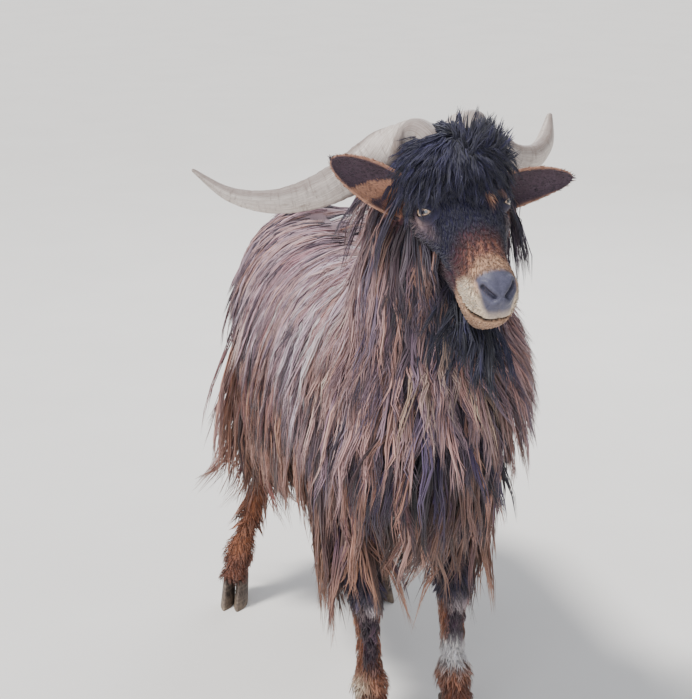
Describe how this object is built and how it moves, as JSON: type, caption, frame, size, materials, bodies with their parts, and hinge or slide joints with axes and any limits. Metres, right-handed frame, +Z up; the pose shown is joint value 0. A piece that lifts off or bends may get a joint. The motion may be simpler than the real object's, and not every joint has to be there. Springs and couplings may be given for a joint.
{
  "type": "carpathian goat buck, standing",
  "caption": "Standing long-haired Carpathian goat buck with wide twisted horns, forelock, beard and a shaggy coat, head turned to its left.",
  "frame": {"origin": "middle of the bounding box, on the floor under the hooves", "axes": "+Z up; the goat faces -Y and its left side is +X"},
  "size_m": [0.528, 1.0704, 0.9588],
  "materials": {
    "body_coat": "long dull hair, chestnut brown",
    "dark_coat": "black brown hair",
    "leg_coat": "short rust brown hair",
    "ear": "thin skin with short hair",
    "horn": "ridged grey beige horn, slight sheen",
    "hoof": "dark horn, worn matt",
    "eye": "moist, polished"
  },
  "bodies": {
    "root": {"beard": "dark_coat", "ear_left": "ear", "ear_right": "ear", "eye_left": "eye", "eye_right": "eye", "foreleg_lower_left": "leg_coat", "foreleg_lower_right": "leg_coat", "foreleg_upper_left": "body_coat", "foreleg_upper_right": "body_coat", "forelock": "dark_coat", "head": "dark_coat", "hindleg_lower_left": "leg_coat", "hindleg_lower_right": "leg_coat", "hoof_fore_left_left": "hoof", "hoof_fore_left_right": "hoof", "hoof_fore_right_left": "hoof", "hoof_fore_right_right": "hoof", "hoof_hind_left_left": "hoof", "hoof_hind_left_right": "hoof", "hoof_hind_right_left": "hoof", "hoof_hind_right_right": "hoof", "horn_left": "horn", "horn_right": "horn", "neck": "body_coat", "tail": "body_coat", "thigh_left": "body_coat", "thigh_right": "body_coat", "torso": "body_coat"}
  },
  "joints": []
}
